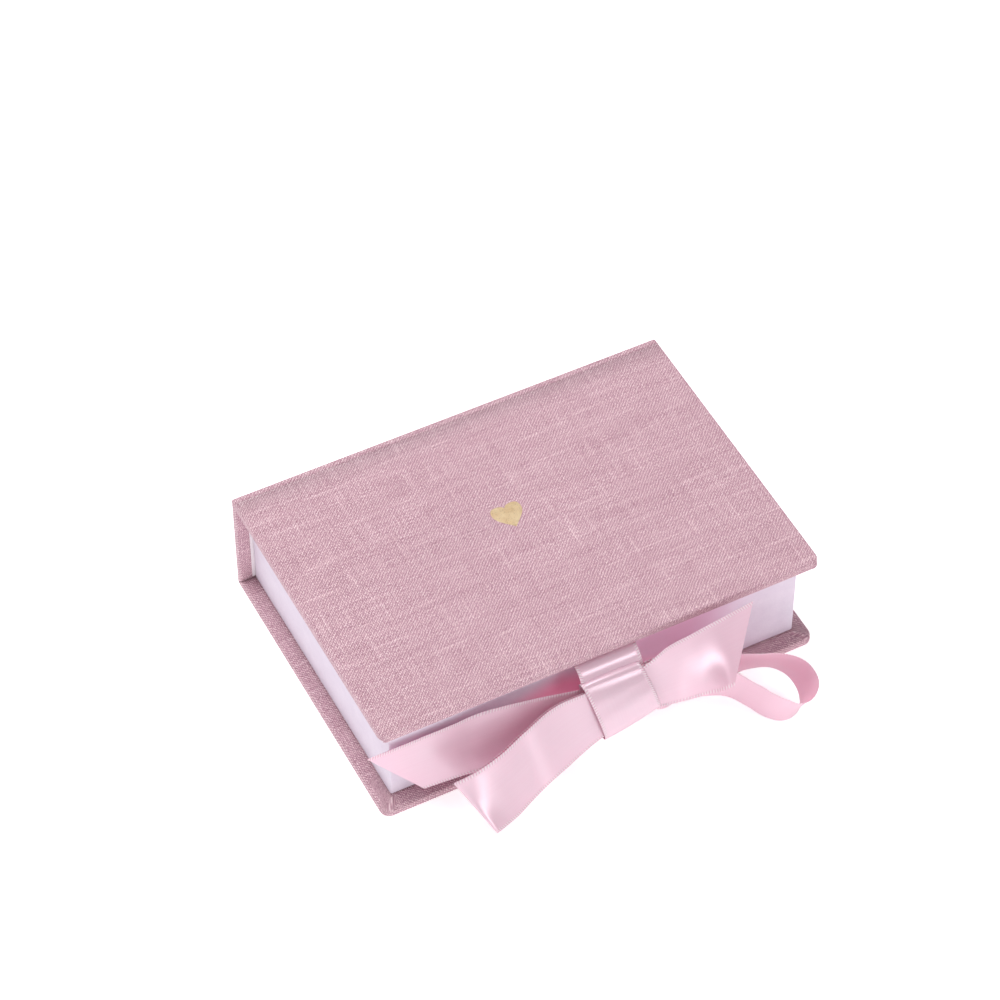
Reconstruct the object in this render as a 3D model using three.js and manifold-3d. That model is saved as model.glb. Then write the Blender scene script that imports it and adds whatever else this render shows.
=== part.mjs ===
// Ribbon-tied jewellery gift box: a cloth-covered book-style case (cover, spine
// and base), a paper-wrapped tray glued to the base, a velvet pad in the tray,
// and a satin ribbon tied in a bow at the middle of the opening edge.
//
// Frame: millimetres, +Z up, +X along the spine to the right, +Y towards the
// spine. The origin is the middle of the base's underside.
import * as THREE from "three";
import { LoftGeometry } from "three/addons/geometries/LoftGeometry.js";
import { mergeVertices } from "three/addons/utils/BufferGeometryUtils.js";
import Module from "manifold-3d";

const wasm = await Module();
wasm.setup();

// Case
const CASE_WIDTH = 115;
const CASE_DEPTH = 81;
const CASE_HEIGHT = 30.7;
const BOARD = 1.9; // greyboard
const CLOTH = 0.25; // bookcloth
const PANEL = BOARD + 2 * CLOTH;
const CORNER_RADIUS = 2.5; // front corners of the cover and the base
const TURN_IN = 12; // cloth folded over onto the inner face
const HINGE_GAP = 0.3; // between the mitred edges of two boards
const FIT = 0.02; // between a piece and what it is glued to
const LINING = 0.15; // lining and wrapping paper
const LINING_MARGIN = 3; // from the panel's edge
const SPINE_LINING_MARGIN = 0.5; // from the spine's mitres
const POCKET_RIM = 0.4; // raised lining round the ribbon's glued end
const FOIL = 0.08;
const DEBOSS = 0.12; // depth of the pressed heart

// Heart on the cover
const HEART_WIDTH = 7.8;
const HEART_HEIGHT = 7.4;
const HEART_X = -1.1;
const HEART_Y = 5.7;
const HEART_CLEARANCE = 0.05; // round the foil

// Tray
const SIDE_OVERHANG = 3.7;
const FRONT_OVERHANG = 4;
const SPINE_CLEARANCE = 0.3;
const GLUE = 0.3; // glue sheet above the folded-in cloth
const GLUE_MARGIN = 0.5; // inside the folded-in cloth
const GLUE_BACK_MARGIN = 2; // inside the tray's back
const RIBBON_NOTCH = 0.3; // clear of the ribbon's glued end
const LID_CLEARANCE = 0.6; // cover's underside to the tray's rim
const STAY = 0.12; // gummed corner tape
const STAY_SPACE = 0.15;
const STAY_LEG = 12;
const STAY_MARGIN = 1; // from the tray's rim and bottom
const FLANGE = 10; // wrapping paper folded under the tray

// Pad in the tray
const PAD_CLEARANCE = 0.4;
const PAD_HEIGHT = 15.9;
const PAD_CARD = 1;
const VELVET = 0.4;
const RING_SLIT = { length: 30, width: 1.6, y: 2 };
const EARRING_SLIT = { length: 6, width: 1.6, x: 24, y: 2 };
const CHAIN_NOTCH = { length: 5, width: 1.2, x: 17 };
const SLIT_DEPTH = 10;

// Ribbon
const RIBBON = 0.25;
const RIBBON_WIDTH = 16;
const ANCHOR = 22; // reach of the glued end behind the case's front
const ANCHOR_CLEARANCE = 0.5; // free space beyond the glued end
const SAMPLES = 5; // sections between two stations of a ribbon
const BACK_LAYER_DROP = 0.35; // how far a flattened loop's back layer hangs below its front
const FOLD_REACH = 0.5; // how far the fold stands out past a flattened loop's last station

// The knot: a band round the strands, wider than thick, slanting as it goes round
const KNOT = {
  centre: new THREE.Vector3(0.8, -47.1, 18.1),
  lean: 24,
  halfLength: 7.9,
  halfThickness: 2.5,
  slant: 1.5,
  width: 15.2,
  squareness: 0.72,
  sections: 32,
};

const HALF_WIDTH = CASE_WIDTH / 2;
const FRONT = -CASE_DEPTH / 2;
const BACK = CASE_DEPTH / 2;
const COVER_UNDERSIDE = CASE_HEIGHT - PANEL;
const MITRE = (HINGE_GAP / 2) * Math.SQRT2;
const TRAY = {
  x: HALF_WIDTH - SIDE_OVERHANG,
  front: FRONT + FRONT_OVERHANG,
  back: BACK - PANEL - SPINE_CLEARANCE,
  bottom: PANEL + GLUE,
  top: COVER_UNDERSIDE - LID_CLEARANCE,
};
const SKIN = LINING + STAY_SPACE; // wrapping paper and the tape's space under it
const WALL = SKIN + BOARD + FIT + LINING;
const FLOOR_TOP = TRAY.bottom + LINING + FIT + BOARD;

const COLOURS = {
  cloth: new THREE.MeshStandardMaterial({ color: 0xc99aa8, roughness: 0.9 }),
  board: new THREE.MeshStandardMaterial({ color: 0xa89f93, roughness: 0.95 }),
  lining: new THREE.MeshStandardMaterial({ color: 0xf0e8ea, roughness: 0.8 }),
  paper: new THREE.MeshStandardMaterial({ color: 0xeee6ee, roughness: 0.75 }),
  tape: new THREE.MeshStandardMaterial({ color: 0xd9c7a6, roughness: 0.85 }),
  glue: new THREE.MeshStandardMaterial({ color: 0xe4dccb, roughness: 0.5 }),
  foil: new THREE.MeshStandardMaterial({ color: 0xdfc39d, roughness: 0.3, metalness: 1 }),
  satin: new THREE.MeshStandardMaterial({ color: 0xf2c6d6, roughness: 0.35 }),
  foam: new THREE.MeshStandardMaterial({ color: 0xf4efe6, roughness: 0.95 }),
  velvet: new THREE.MeshStandardMaterial({ color: 0xf3eceb, roughness: 1 }),
};

const root = new THREE.Group();
root.name = "jewellery_gift_box";
const lid = new THREE.Group();
const spine = new THREE.Group();
const base = new THREE.Group();
root.add(lid, spine, base);

// A closed geometry as a solid that can be cut and joined.
function solid(geometry) {
  const bare = geometry.clone();
  bare.deleteAttribute("normal");
  bare.deleteAttribute("uv");
  const merged = mergeVertices(bare, 1e-4);
  return new wasm.Manifold(
    new wasm.Mesh({
      numProp: 3,
      vertProperties: merged.attributes.position.array,
      triVerts: new Uint32Array(merged.index.array),
    }),
  );
}

// A solid back as a geometry with flat faces.
function geometryOf(body) {
  const made = body.getMesh();
  const geometry = new THREE.BufferGeometry();
  const vertices = new THREE.BufferAttribute(made.vertProperties, made.numProp);
  geometry.setAttribute("position", vertices);
  geometry.setIndex(new THREE.BufferAttribute(made.triVerts, 1));
  const flat = geometry.toNonIndexed();
  flat.computeVertexNormals();
  return flat;
}

function piece(group, name, geometry, colour) {
  const mesh = new THREE.Mesh(geometry, COLOURS[colour].clone());
  mesh.name = name;
  group.add(mesh);
}

function block(x0, x1, y0, y1, z0, z1) {
  const box = new THREE.BoxGeometry(x1 - x0, y1 - y0, z1 - z0);
  return box.translate((x0 + x1) / 2, (y0 + y1) / 2, (z0 + z1) / 2);
}

function upright(shape, z0, z1) {
  const options = { depth: z1 - z0, bevelEnabled: false, curveSegments: 8 };
  return new THREE.ExtrudeGeometry(shape, options).translate(0, 0, z0);
}

// A profile given as [y, z] corners, extruded along X.
function along(profile, x0, x1) {
  const shape = new THREE.Shape(profile.map(([y, z]) => new THREE.Vector2(y, z)));
  const bar = new THREE.ExtrudeGeometry(shape, { depth: x1 - x0, bevelEnabled: false });
  bar.applyMatrix4(new THREE.Matrix4().set(0, 0, 1, x0, 1, 0, 0, 0, 0, 1, 0, 0, 0, 0, 0, 1));
  return bar;
}

// The plan of a cover or base board: square at the spine, rounded in front.
function panelPlan(inset) {
  const x = HALF_WIDTH - inset;
  const y = FRONT + inset;
  const radius = CORNER_RADIUS - inset;
  const plan = new THREE.Shape();
  plan.moveTo(-x, BACK);
  plan.lineTo(-x, y + radius);
  plan.absarc(-x + radius, y + radius, radius, Math.PI, 1.5 * Math.PI, false);
  plan.absarc(x - radius, y + radius, radius, 1.5 * Math.PI, 2 * Math.PI, false);
  plan.lineTo(x, BACK);
  plan.closePath();
  return plan;
}

// A cover or base panel cut at 45 degrees where it meets the spine. The outer
// face is at z = outer and the inner face is one panel away, up or down. A
// cutting tool passes the cut face by an overrun.
function panel(outer, up, inset, overrun = 0) {
  const inner = outer + up * PANEL;
  const near = outer + up * inset;
  const far = inner - up * inset;
  const reach = (z) => BACK - MITRE - Math.abs(z - outer) + overrun;
  const profile = [
    [FRONT - 1, near],
    [reach(near), near],
    [reach(far), far],
    [FRONT - 1, far],
  ];
  const slab = solid(upright(panelPlan(inset), Math.min(near, far), Math.max(near, far)));
  const bar = along(up > 0 ? profile : profile.reverse(), -HALF_WIDTH, HALF_WIDTH);
  return slab.intersect(solid(bar));
}

// Cloth round the board: outer face, edges and the strip folded onto the inner face.
function panelCloth(outer, up) {
  const inner = outer + up * PANEL;
  const x = HALF_WIDTH - TURN_IN;
  const low = Math.min(inner, inner - 2 * up * CLOTH) - FIT;
  const window = block(-x, x, FRONT + TURN_IN, BACK, low, low + 2 * CLOTH + 2 * FIT);
  const pocket = panel(outer, up, CLOTH - FIT, 1);
  return panel(outer, up, 0).subtract(pocket).subtract(solid(window));
}

function heart(width, height) {
  const w = width / 2;
  const top = height * 0.38;
  const shape = new THREE.Shape();
  shape.moveTo(0, -height * 0.55);
  shape.bezierCurveTo(-w * 0.25, -height * 0.38, -w, -height * 0.12, -w, height * 0.16);
  shape.bezierCurveTo(-w, height * 0.42, -w * 0.76, height * 0.45, -w * 0.5, height * 0.45);
  shape.bezierCurveTo(-w * 0.2, height * 0.45, -w * 0.04, top, 0, height * 0.3);
  shape.bezierCurveTo(w * 0.04, top, w * 0.2, height * 0.45, w * 0.5, height * 0.45);
  shape.bezierCurveTo(w * 0.76, height * 0.45, w, height * 0.42, w, height * 0.16);
  shape.bezierCurveTo(w, -height * 0.12, w * 0.25, -height * 0.38, 0, -height * 0.55);
  return shape;
}

function heartPlate(margin, z0, z1) {
  const shape = heart(HEART_WIDTH + 2 * margin, HEART_HEIGHT + 2 * margin);
  return upright(shape, z0, z1).translate(HEART_X, HEART_Y, 0);
}

function addCover() {
  const deboss = solid(heartPlate(HEART_CLEARANCE, CASE_HEIGHT - DEBOSS, CASE_HEIGHT + 1));
  const cloth = panelCloth(CASE_HEIGHT, -1).subtract(deboss);
  const foilZ = CASE_HEIGHT - DEBOSS + FIT / 2;
  piece(lid, "cover_board", geometryOf(panel(CASE_HEIGHT, -1, CLOTH)), "board");
  piece(lid, "cover_cloth", geometryOf(cloth), "cloth");
  piece(lid, "foil_heart", heartPlate(0, foilZ, foilZ + FOIL), "foil");
}

// Lining under the cover, with a raised pocket over the ribbon's glued end.
function addCoverLining() {
  const x = HALF_WIDTH - LINING_MARGIN;
  const y = FRONT + LINING_MARGIN;
  const top = COVER_UNDERSIDE - FIT;
  const half = RIBBON_WIDTH / 2 + FIT;
  const end = FRONT + ANCHOR + FIT;
  const under = top - RIBBON - 2 * FIT;
  const back = BACK - MITRE - PANEL - SPINE_LINING_MARGIN;
  const rimX = half + POCKET_RIM;
  const sheet = block(-x, x, y, back, top - LINING, top);
  const pocket = block(-rimX, rimX, y, end + POCKET_RIM, under - LINING, top);
  const hollow = block(-half, half, y - 1, end, under, top + 1);
  const lining = solid(sheet).add(solid(pocket)).subtract(solid(hollow));
  piece(lid, "cover_lining", geometryOf(lining), "lining");
}

function addSpine() {
  const inner = BACK - PANEL;
  const profile = (inset, overrun) => {
    const outerY = BACK - inset;
    const innerY = inner + inset;
    const rise = (y) => MITRE + BACK - y - overrun;
    return [
      [outerY, rise(outerY)],
      [outerY, CASE_HEIGHT - rise(outerY)],
      [innerY, CASE_HEIGHT - rise(innerY)],
      [innerY, rise(innerY)],
    ];
  };
  const slab = (inset, overrun = 0) => {
    const x = HALF_WIDTH - inset;
    return solid(along(profile(inset, overrun), -x, x));
  };
  const x = HALF_WIDTH - TURN_IN;
  const window = block(-x, x, inner - 1, inner + CLOTH + FIT, -1, CASE_HEIGHT + 1);
  const cloth = slab(0).subtract(slab(CLOTH - FIT, 1)).subtract(solid(window));
  piece(spine, "spine_board", geometryOf(slab(CLOTH)), "board");
  piece(spine, "spine_cloth", geometryOf(cloth), "cloth");
  const liningX = HALF_WIDTH - LINING_MARGIN;
  const margin = PANEL + MITRE + SPINE_LINING_MARGIN;
  const face = inner - FIT;
  const strip = block(-liningX, liningX, face - LINING, face, margin, CASE_HEIGHT - margin);
  piece(spine, "spine_lining", strip, "lining");
}

function addBase() {
  piece(base, "base_board", geometryOf(panel(0, 1, CLOTH)), "board");
  piece(base, "base_cloth", geometryOf(panelCloth(0, 1)), "cloth");
}

// Glue between the base board and the tray, notched for the ribbon's end.
function addGlueSheet() {
  const x = HALF_WIDTH - TURN_IN - GLUE_MARGIN;
  const y = FRONT + TURN_IN + GLUE_MARGIN;
  const back = TRAY.back - GLUE_BACK_MARGIN;
  const z0 = PANEL - CLOTH + FIT;
  const sheet = block(-x, x, y, back, z0, TRAY.bottom - FIT);
  const half = RIBBON_WIDTH / 2 + RIBBON_NOTCH;
  const notchEnd = FRONT + ANCHOR + RIBBON_NOTCH;
  const notch = block(-half, half, y - 1, notchEnd, PANEL, TRAY.bottom);
  piece(base, "tray_glue_sheet", geometryOf(solid(sheet).subtract(solid(notch))), "glue");
}

function addTrayBoards() {
  const outerX = TRAY.x - SKIN;
  const innerX = outerX - BOARD;
  const front = TRAY.front + SKIN;
  const back = TRAY.back - SKIN;
  const z0 = TRAY.bottom + LINING + FIT;
  const z1 = TRAY.top - LINING - FIT;
  const sideFront = front + BOARD + FIT;
  const sideBack = back - BOARD - FIT;
  const wall = (name, ...box) => piece(base, name, block(...box, z0, z1), "board");
  wall("tray_wall_front", -outerX, outerX, front, front + BOARD);
  wall("tray_wall_back", -outerX, outerX, back - BOARD, back);
  wall("tray_wall_left", -outerX, -innerX, sideFront, sideBack);
  wall("tray_wall_right", innerX, outerX, sideFront, sideBack);
  const floorX = innerX - FIT;
  const floor = block(-floorX, floorX, sideFront, sideBack, z0, z0 + BOARD);
  piece(base, "tray_floor", floor, "board");
}

// Gummed tape folded round each outside corner of the tray boards.
function addCornerStays() {
  const x = TRAY.x - LINING - FIT / 2;
  const ends = [
    ["front", TRAY.front + LINING + FIT / 2, 1],
    ["back", TRAY.back - LINING - FIT / 2, -1],
  ];
  for (const [end, y, inwards] of ends) {
    for (const [side, sign] of [["left", -1], ["right", 1]]) {
      const tape = new THREE.Shape();
      tape.moveTo(sign * x, y);
      tape.lineTo(sign * (x - STAY_LEG), y);
      tape.lineTo(sign * (x - STAY_LEG), y + inwards * STAY);
      tape.lineTo(sign * (x - STAY), y + inwards * STAY);
      tape.lineTo(sign * (x - STAY), y + inwards * STAY_LEG);
      tape.lineTo(sign * x, y + inwards * STAY_LEG);
      tape.closePath();
      const strip = upright(tape, TRAY.bottom + STAY_MARGIN, TRAY.top - STAY_MARGIN);
      piece(base, "tray_corner_stay_" + end + "_" + side, strip, "tape");
    }
  }
}

// Paper over the walls' outsides, rim and insides, folded under the floor.
function addTrayWrap() {
  const ring = (inset, z0, z1) => {
    const x = TRAY.x - inset;
    return solid(block(-x, x, TRAY.front + inset, TRAY.back - inset, z0, z1));
  };
  const pocketTop = TRAY.top - LINING;
  const pocket = ring(LINING, FLOOR_TOP - FIT, pocketTop).subtract(
    ring(WALL - LINING, 0, CASE_HEIGHT),
  );
  const wrap = ring(0, TRAY.bottom, TRAY.top)
    .subtract(ring(WALL, FLOOR_TOP, CASE_HEIGHT))
    .subtract(pocket)
    .subtract(ring(LINING, TRAY.bottom + LINING, FLOOR_TOP + FIT))
    .subtract(ring(FLANGE, 0, TRAY.bottom + 1));
  piece(base, "tray_wrap", geometryOf(wrap), "paper");
}

function padBox(margin, z0, z1) {
  const x = TRAY.x - WALL - margin;
  const y0 = TRAY.front + WALL + margin;
  return block(-x, x, y0, TRAY.back - WALL - margin, z0, z1);
}

function addTrayLiner() {
  const z = FLOOR_TOP + 2 * FIT;
  piece(base, "tray_liner", padBox(2 * FIT, z, z + LINING), "paper");
}

// Slits that hold a ring, a pair of earrings and a chain, grown by a margin.
function padSlits(margin, z0, z1) {
  const backEdge = TRAY.back - WALL - PAD_CLEARANCE;
  const slit = (x, y, length, width) =>
    solid(
      block(
        x - length / 2 - margin,
        x + length / 2 + margin,
        y - width / 2 - margin,
        y + width / 2 + margin,
        z0,
        z1,
      ),
    );
  let slits = slit(0, RING_SLIT.y, RING_SLIT.length, RING_SLIT.width);
  for (const side of [-1, 1]) {
    const { length, width, x, y } = EARRING_SLIT;
    slits = slits.add(slit(side * x, y, length, width));
    const notch = CHAIN_NOTCH;
    slits = slits.add(slit(side * notch.x, backEdge - 2, notch.width, notch.length));
  }
  return slits;
}

function addPad() {
  const z0 = FLOOR_TOP + LINING + 4 * FIT;
  const foamZ = z0 + PAD_CARD + FIT;
  const top = z0 + PAD_HEIGHT;
  const inner = PAD_CLEARANCE + VELVET;
  const slitFloor = top - SLIT_DEPTH;
  const card = padBox(inner + FIT, z0, z0 + PAD_CARD);
  const foam = solid(padBox(inner + FIT, foamZ, top - VELVET - FIT));
  const hollow = padBox(inner, z0 - 1, top - VELVET);
  const velvet = solid(padBox(PAD_CLEARANCE, z0, top)).subtract(solid(hollow));
  const cutFoam = foam.subtract(padSlits(0, slitFloor, top + 1));
  const cutVelvet = velvet.subtract(padSlits(0, slitFloor, top + 1));
  piece(base, "insert_card", card, "board");
  piece(base, "insert_foam", geometryOf(cutFoam), "foam");
  piece(base, "insert_velvet", geometryOf(cutVelvet), "velvet");
}

// A flat ribbon through stations. Each station holds the middle of the ribbon,
// the lean of its width from upright in degrees (a positive lean brings the top
// edge forward), the width, and how far a slanted cut moves the top edge on.
function ribbon(stations) {
  const middle = new THREE.CatmullRomCurve3(
    stations.map((s) => new THREE.Vector3(...s.at)),
    false,
    "catmullrom",
  );
  const shape = new THREE.CatmullRomCurve3(
    stations.map((s) => new THREE.Vector3(s.lean, s.width ?? RIBBON_WIDTH, s.cut ?? 0)),
    false,
    "catmullrom",
  );
  const count = (stations.length - 1) * SAMPLES;
  const sections = [];
  for (let i = 0; i <= count; i++) {
    const [lean, width, cut] = shape.getPoint(i / count).toArray();
    const angle = THREE.MathUtils.degToRad(lean);
    const across = new THREE.Vector3(0, -Math.sin(angle), Math.cos(angle));
    const tangent = middle.getTangent(i / count);
    sections.push(section(middle.getPoint(i / count), tangent, across, width, cut));
  }
  return new LoftGeometry(sections, { closed: true, capStart: true, capEnd: true });
}

// A loop pressed nearly flat: a front layer, a fold, and a back layer behind it. Each
// station of the front layer holds the middle of the ribbon, the direction across it,
// the width and the gap to the back layer.
function flattenedLoop(stations) {
  const last = stations.length - 1;
  const front = stations.map((s) => new THREE.Vector3(...s.at));
  const across = stations.map((s) => new THREE.Vector3(...s.across).normalize());
  const along = front.map((_, i) =>
    front[Math.min(i + 1, last)].clone().sub(front[Math.max(i - 1, 0)]).normalize(),
  );
  const behind = (i, share) => {
    const away = new THREE.Vector3().crossVectors(along[i], across[i]).normalize();
    return front[i]
      .clone()
      .addScaledVector(away, stations[i].gap * share)
      .addScaledVector(across[i], -BACK_LAYER_DROP * share);
  };
  const tip = behind(last, 0.5).addScaledVector(along[last], FOLD_REACH);
  const back = front.map((_, i) => behind(i, 1)).reverse();
  const order = [...front.keys(), last, ...[...front.keys()].reverse()];
  const through = (points) => new THREE.CatmullRomCurve3(points, false, "catmullrom");
  const middle = through([...front, tip, ...back]);
  const edges = through(order.map((i) => across[i]));
  const widths = through(
    order.map((i) => new THREE.Vector3(stations[i].width ?? RIBBON_WIDTH, 0, 0)),
  );
  const count = (order.length - 1) * SAMPLES;
  const sections = [];
  for (let i = 0; i <= count; i++) {
    const edge = edges.getPoint(i / count).normalize();
    const normal = new THREE.Vector3().crossVectors(middle.getTangent(i / count), edge);
    const reach = edge.clone().multiplyScalar(widths.getPoint(i / count).x / 2);
    sections.push(corners(middle.getPoint(i / count), reach, normal.normalize()));
  }
  return new LoftGeometry(sections, { closed: true, capStart: true, capEnd: true });
}

// A ribbon's section, square to the tangent apart from the cut.
function section(centre, tangent, across, width, cut) {
  const edge = across.clone().addScaledVector(tangent, -across.dot(tangent)).normalize();
  const normal = new THREE.Vector3().crossVectors(tangent, edge);
  const reach = edge.multiplyScalar(width / 2).addScaledVector(tangent, cut);
  return corners(centre, reach, normal);
}

// The four corners of a section from its half width and its unit normal.
function corners(centre, reach, normal) {
  const half = normal.multiplyScalar(RIBBON / 2);
  return [
    centre.clone().add(reach).add(half),
    centre.clone().sub(reach).add(half),
    centre.clone().sub(reach).sub(half),
    centre.clone().add(reach).sub(half),
  ];
}

function addKnot() {
  const lean = THREE.MathUtils.degToRad(KNOT.lean);
  const down = new THREE.Vector3(0, -Math.sin(lean), -Math.cos(lean));
  const out = new THREE.Vector3(0, -Math.cos(lean), Math.sin(lean));
  const bulge = (value) => Math.sign(value) * Math.abs(value) ** KNOT.squareness;
  const points = [];
  for (let i = 0; i < KNOT.sections; i++) {
    const angle = (2 * Math.PI * i) / KNOT.sections;
    const drop = bulge(Math.cos(angle));
    const point = KNOT.centre.clone();
    point.addScaledVector(down, drop * KNOT.halfLength);
    point.addScaledVector(out, bulge(Math.sin(angle)) * KNOT.halfThickness);
    point.x += drop * KNOT.slant;
    points.push(point);
  }
  const ring = new THREE.CatmullRomCurve3(points, true, "catmullrom");
  const sideways = new THREE.Vector3(1, 0, 0);
  const sections = [];
  for (let i = 0; i <= KNOT.sections; i++) {
    const t = (i % KNOT.sections) / KNOT.sections;
    const at = ring.getPoint(t);
    sections.push(section(at, ring.getTangent(t), sideways, KNOT.width, 0));
  }
  piece(base, "bow_knot", new LoftGeometry(sections, { closed: true }), "satin");
}

// Inside the knot the strands lie in layers: the tail behind, the loop's two in front.
function addLeftSide() {
  const tail = [
    { at: [-1.2, -46.1, 17.6], lean: -24, width: 12.6 },
    { at: [-7.5, -46.1, 17.5], lean: -24, width: 12.6 },
    { at: [-19, -43.5, 15.7], lean: -18 },
    { at: [-30, -41.3, 15.3], lean: -18 },
    { at: [-37, -40.1, 14.3], lean: -13 },
    { at: [-45.5, -39.5, 13.9], lean: -10, cut: 1.5 },
    { at: [-53.6, -39.3, 13.8], lean: -9, cut: 6.4 },
  ];
  const loop = [
    { at: [-1.2, -48.2, 18.7], across: [-0.05, 0.4, 0.91], width: 12.4, gap: 1.1 },
    { at: [-7, -48.2, 18.2], across: [-0.16, 0.37, 0.92], width: 12.9, gap: 1 },
    { at: [-12.9, -48.4, 16.8], across: [-0.17, 0.38, 0.91], width: 15.2, gap: 1.1 },
    { at: [-17, -49, 15.6], across: [-0.16, 0.4, 0.9], gap: 1.2 },
    { at: [-20.4, -49.8, 14.8], across: [-0.15, 0.4, 0.9], gap: 1.2 },
    { at: [-24.4, -50.2, 12.5], across: [-0.18, 0.4, 0.9], gap: 1.2 },
    { at: [-28.9, -51.4, 11], across: [-0.23, 0.4, 0.89], gap: 1.2 },
    { at: [-32.4, -52, 9.7], across: [-0.29, 0.45, 0.84], gap: 1.1 },
    { at: [-35.4, -52.1, 8.5], across: [-0.34, 0.5, 0.8], gap: 1 },
    { at: [-37.6, -52, 7.6], across: [-0.365, 0.57, 0.735], gap: 0.9 },
    { at: [-39.4, -51.7, 6.8], across: [-0.376, 0.647, 0.663], gap: 0.8 },
  ];
  piece(base, "bow_left_tail", ribbon(tail), "satin");
  piece(base, "bow_left_loop", flattenedLoop(loop), "satin");
}

// Here the loop's two layers are behind and the tail is in front.
function addRightSide() {
  const tail = [
    { at: [2.8, -48.2, 18.6], lean: -24, width: 12.6 },
    { at: [8.2, -48.2, 18.6], lean: -24, width: 12.6 },
    { at: [14.2, -47.8, 20.3], lean: -18 },
    { at: [20.5, -49.1, 22.4], lean: -27, cut: 1 },
    { at: [26, -50.2, 24.4], lean: -39, cut: 4 },
    { at: [31.2, -50.4, 25.4], lean: -43, cut: 6.2 },
  ];
  const loop = [
    { at: [2.8, -46.1, 17.6], lean: -24, width: 12.6 },
    { at: [10, -46.1, 17.5], lean: -24, width: 12.6 },
    { at: [15, -45.4, 16.2], lean: -10, width: 15.2 },
    { at: [20, -45.2, 14.8], lean: 2 },
    { at: [28, -46.3, 14], lean: 16 },
    { at: [34.8, -48.2, 14.2], lean: 27 },
    { at: [40.4, -50.9, 14.3], lean: 31 },
    { at: [44, -54.6, 13.2], lean: 30 },
    { at: [44.8, -58.6, 11], lean: 29 },
    { at: [42.9, -61.1, 9.1], lean: 27 },
    { at: [39.9, -61.4, 8], lean: 26 },
    { at: [37.2, -59.9, 7.9], lean: 24 },
    { at: [34.8, -57.1, 8.1], lean: 24 },
    { at: [32.5, -53.4, 8.8], lean: 25 },
    { at: [29, -49.8, 10.3], lean: 22 },
    { at: [20, -46.8, 13.8], lean: 6 },
    { at: [15, -46.5, 15.9], lean: -8, width: 15.2 },
    { at: [10, -47.1, 17.9], lean: -24, width: 12.6 },
    { at: [2.8, -47.1, 18.1], lean: -24, width: 12.6 },
  ];
  piece(base, "bow_right_tail", ribbon(tail), "satin");
  piece(base, "bow_right_loop", ribbon(loop), "satin");
}

// A ribbon glued inside the case: a flat run, then a curve out to the knot,
// given as [y, z] points along its middle.
function anchoredRibbon(points) {
  const curve = new THREE.CatmullRomCurve3(
    points.map(([y, z]) => new THREE.Vector3(0, y, z)),
    false,
    "catmullrom",
  );
  const sideways = new THREE.Vector3(1, 0, 0);
  const count = (points.length - 1) * SAMPLES;
  const sections = [];
  for (let i = 0; i <= count; i++) {
    const t = i / count;
    const cross = section(curve.getPoint(t), curve.getTangent(t), sideways, RIBBON_WIDTH, 0);
    sections.push(cross);
  }
  return new LoftGeometry(sections, { closed: true, capStart: true, capEnd: true });
}

function addAnchoredRibbons() {
  const lidZ = COVER_UNDERSIDE - 2 * FIT - RIBBON / 2;
  const baseZ = PANEL + 2 * FIT + RIBBON / 2;
  const anchorEnd = FRONT + ANCHOR - ANCHOR_CLEARANCE;
  const upper = [
    [anchorEnd, lidZ],
    [FRONT + 6, lidZ],
    [FRONT + 3, lidZ],
    [FRONT + 0.8, lidZ - 0.1],
    [FRONT - 1.1, lidZ - 0.7],
    [FRONT - 2, lidZ - 1.7],
    [FRONT - 2.2, lidZ - 2.8],
  ];
  const lower = [
    [anchorEnd, baseZ],
    [TRAY.front + 4, baseZ],
    [TRAY.front + 1, baseZ],
    [TRAY.front - 0.6, baseZ],
    [TRAY.front - 2.2, baseZ + 0.4],
    [FRONT - 0.6, baseZ + 2.6],
    [FRONT - 3.4, baseZ + 6],
    [FRONT - 6, baseZ + 8.4],
  ];
  piece(lid, "lid_ribbon", anchoredRibbon(upper), "satin");
  piece(base, "base_ribbon", anchoredRibbon(lower), "satin");
}

addCover();
addCoverLining();
addSpine();
addBase();
addGlueSheet();
addTrayBoards();
addCornerStays();
addTrayWrap();
addTrayLiner();
addPad();
addAnchoredRibbons();
addKnot();
addLeftSide();
addRightSide();

export default root;
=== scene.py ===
"""Looks for the ribbon-tied jewellery gift box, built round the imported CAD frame.

Lengths in this script are millimetres in the row frame (+Z up, +X along the
spine, +Y towards the spine) and are turned into metres when a mesh is made.
"""

import math
from contextlib import contextmanager

import bmesh
import bpy
import numpy as np
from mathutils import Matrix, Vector
from mathutils.geometry import tessellate_polygon

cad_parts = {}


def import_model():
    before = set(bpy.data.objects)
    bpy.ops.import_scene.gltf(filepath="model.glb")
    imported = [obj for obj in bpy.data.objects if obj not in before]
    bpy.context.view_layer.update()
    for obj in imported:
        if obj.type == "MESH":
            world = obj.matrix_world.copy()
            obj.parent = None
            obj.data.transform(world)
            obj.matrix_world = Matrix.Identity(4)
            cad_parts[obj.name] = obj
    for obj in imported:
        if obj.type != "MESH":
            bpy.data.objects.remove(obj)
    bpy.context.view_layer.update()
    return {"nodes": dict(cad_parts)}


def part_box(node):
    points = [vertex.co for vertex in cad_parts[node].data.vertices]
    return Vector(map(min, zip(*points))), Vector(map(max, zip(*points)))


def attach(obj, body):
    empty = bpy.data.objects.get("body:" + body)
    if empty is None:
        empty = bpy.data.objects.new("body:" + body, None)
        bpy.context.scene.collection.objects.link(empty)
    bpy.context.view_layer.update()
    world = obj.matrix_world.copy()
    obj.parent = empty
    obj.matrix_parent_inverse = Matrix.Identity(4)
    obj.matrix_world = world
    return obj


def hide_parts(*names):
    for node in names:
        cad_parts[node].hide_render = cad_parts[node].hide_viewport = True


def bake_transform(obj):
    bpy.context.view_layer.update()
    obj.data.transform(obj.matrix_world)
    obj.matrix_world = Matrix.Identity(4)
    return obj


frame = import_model()


def box_mm(node):
    low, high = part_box(node)
    return np.array(low) * 1000, np.array(high) * 1000


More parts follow.
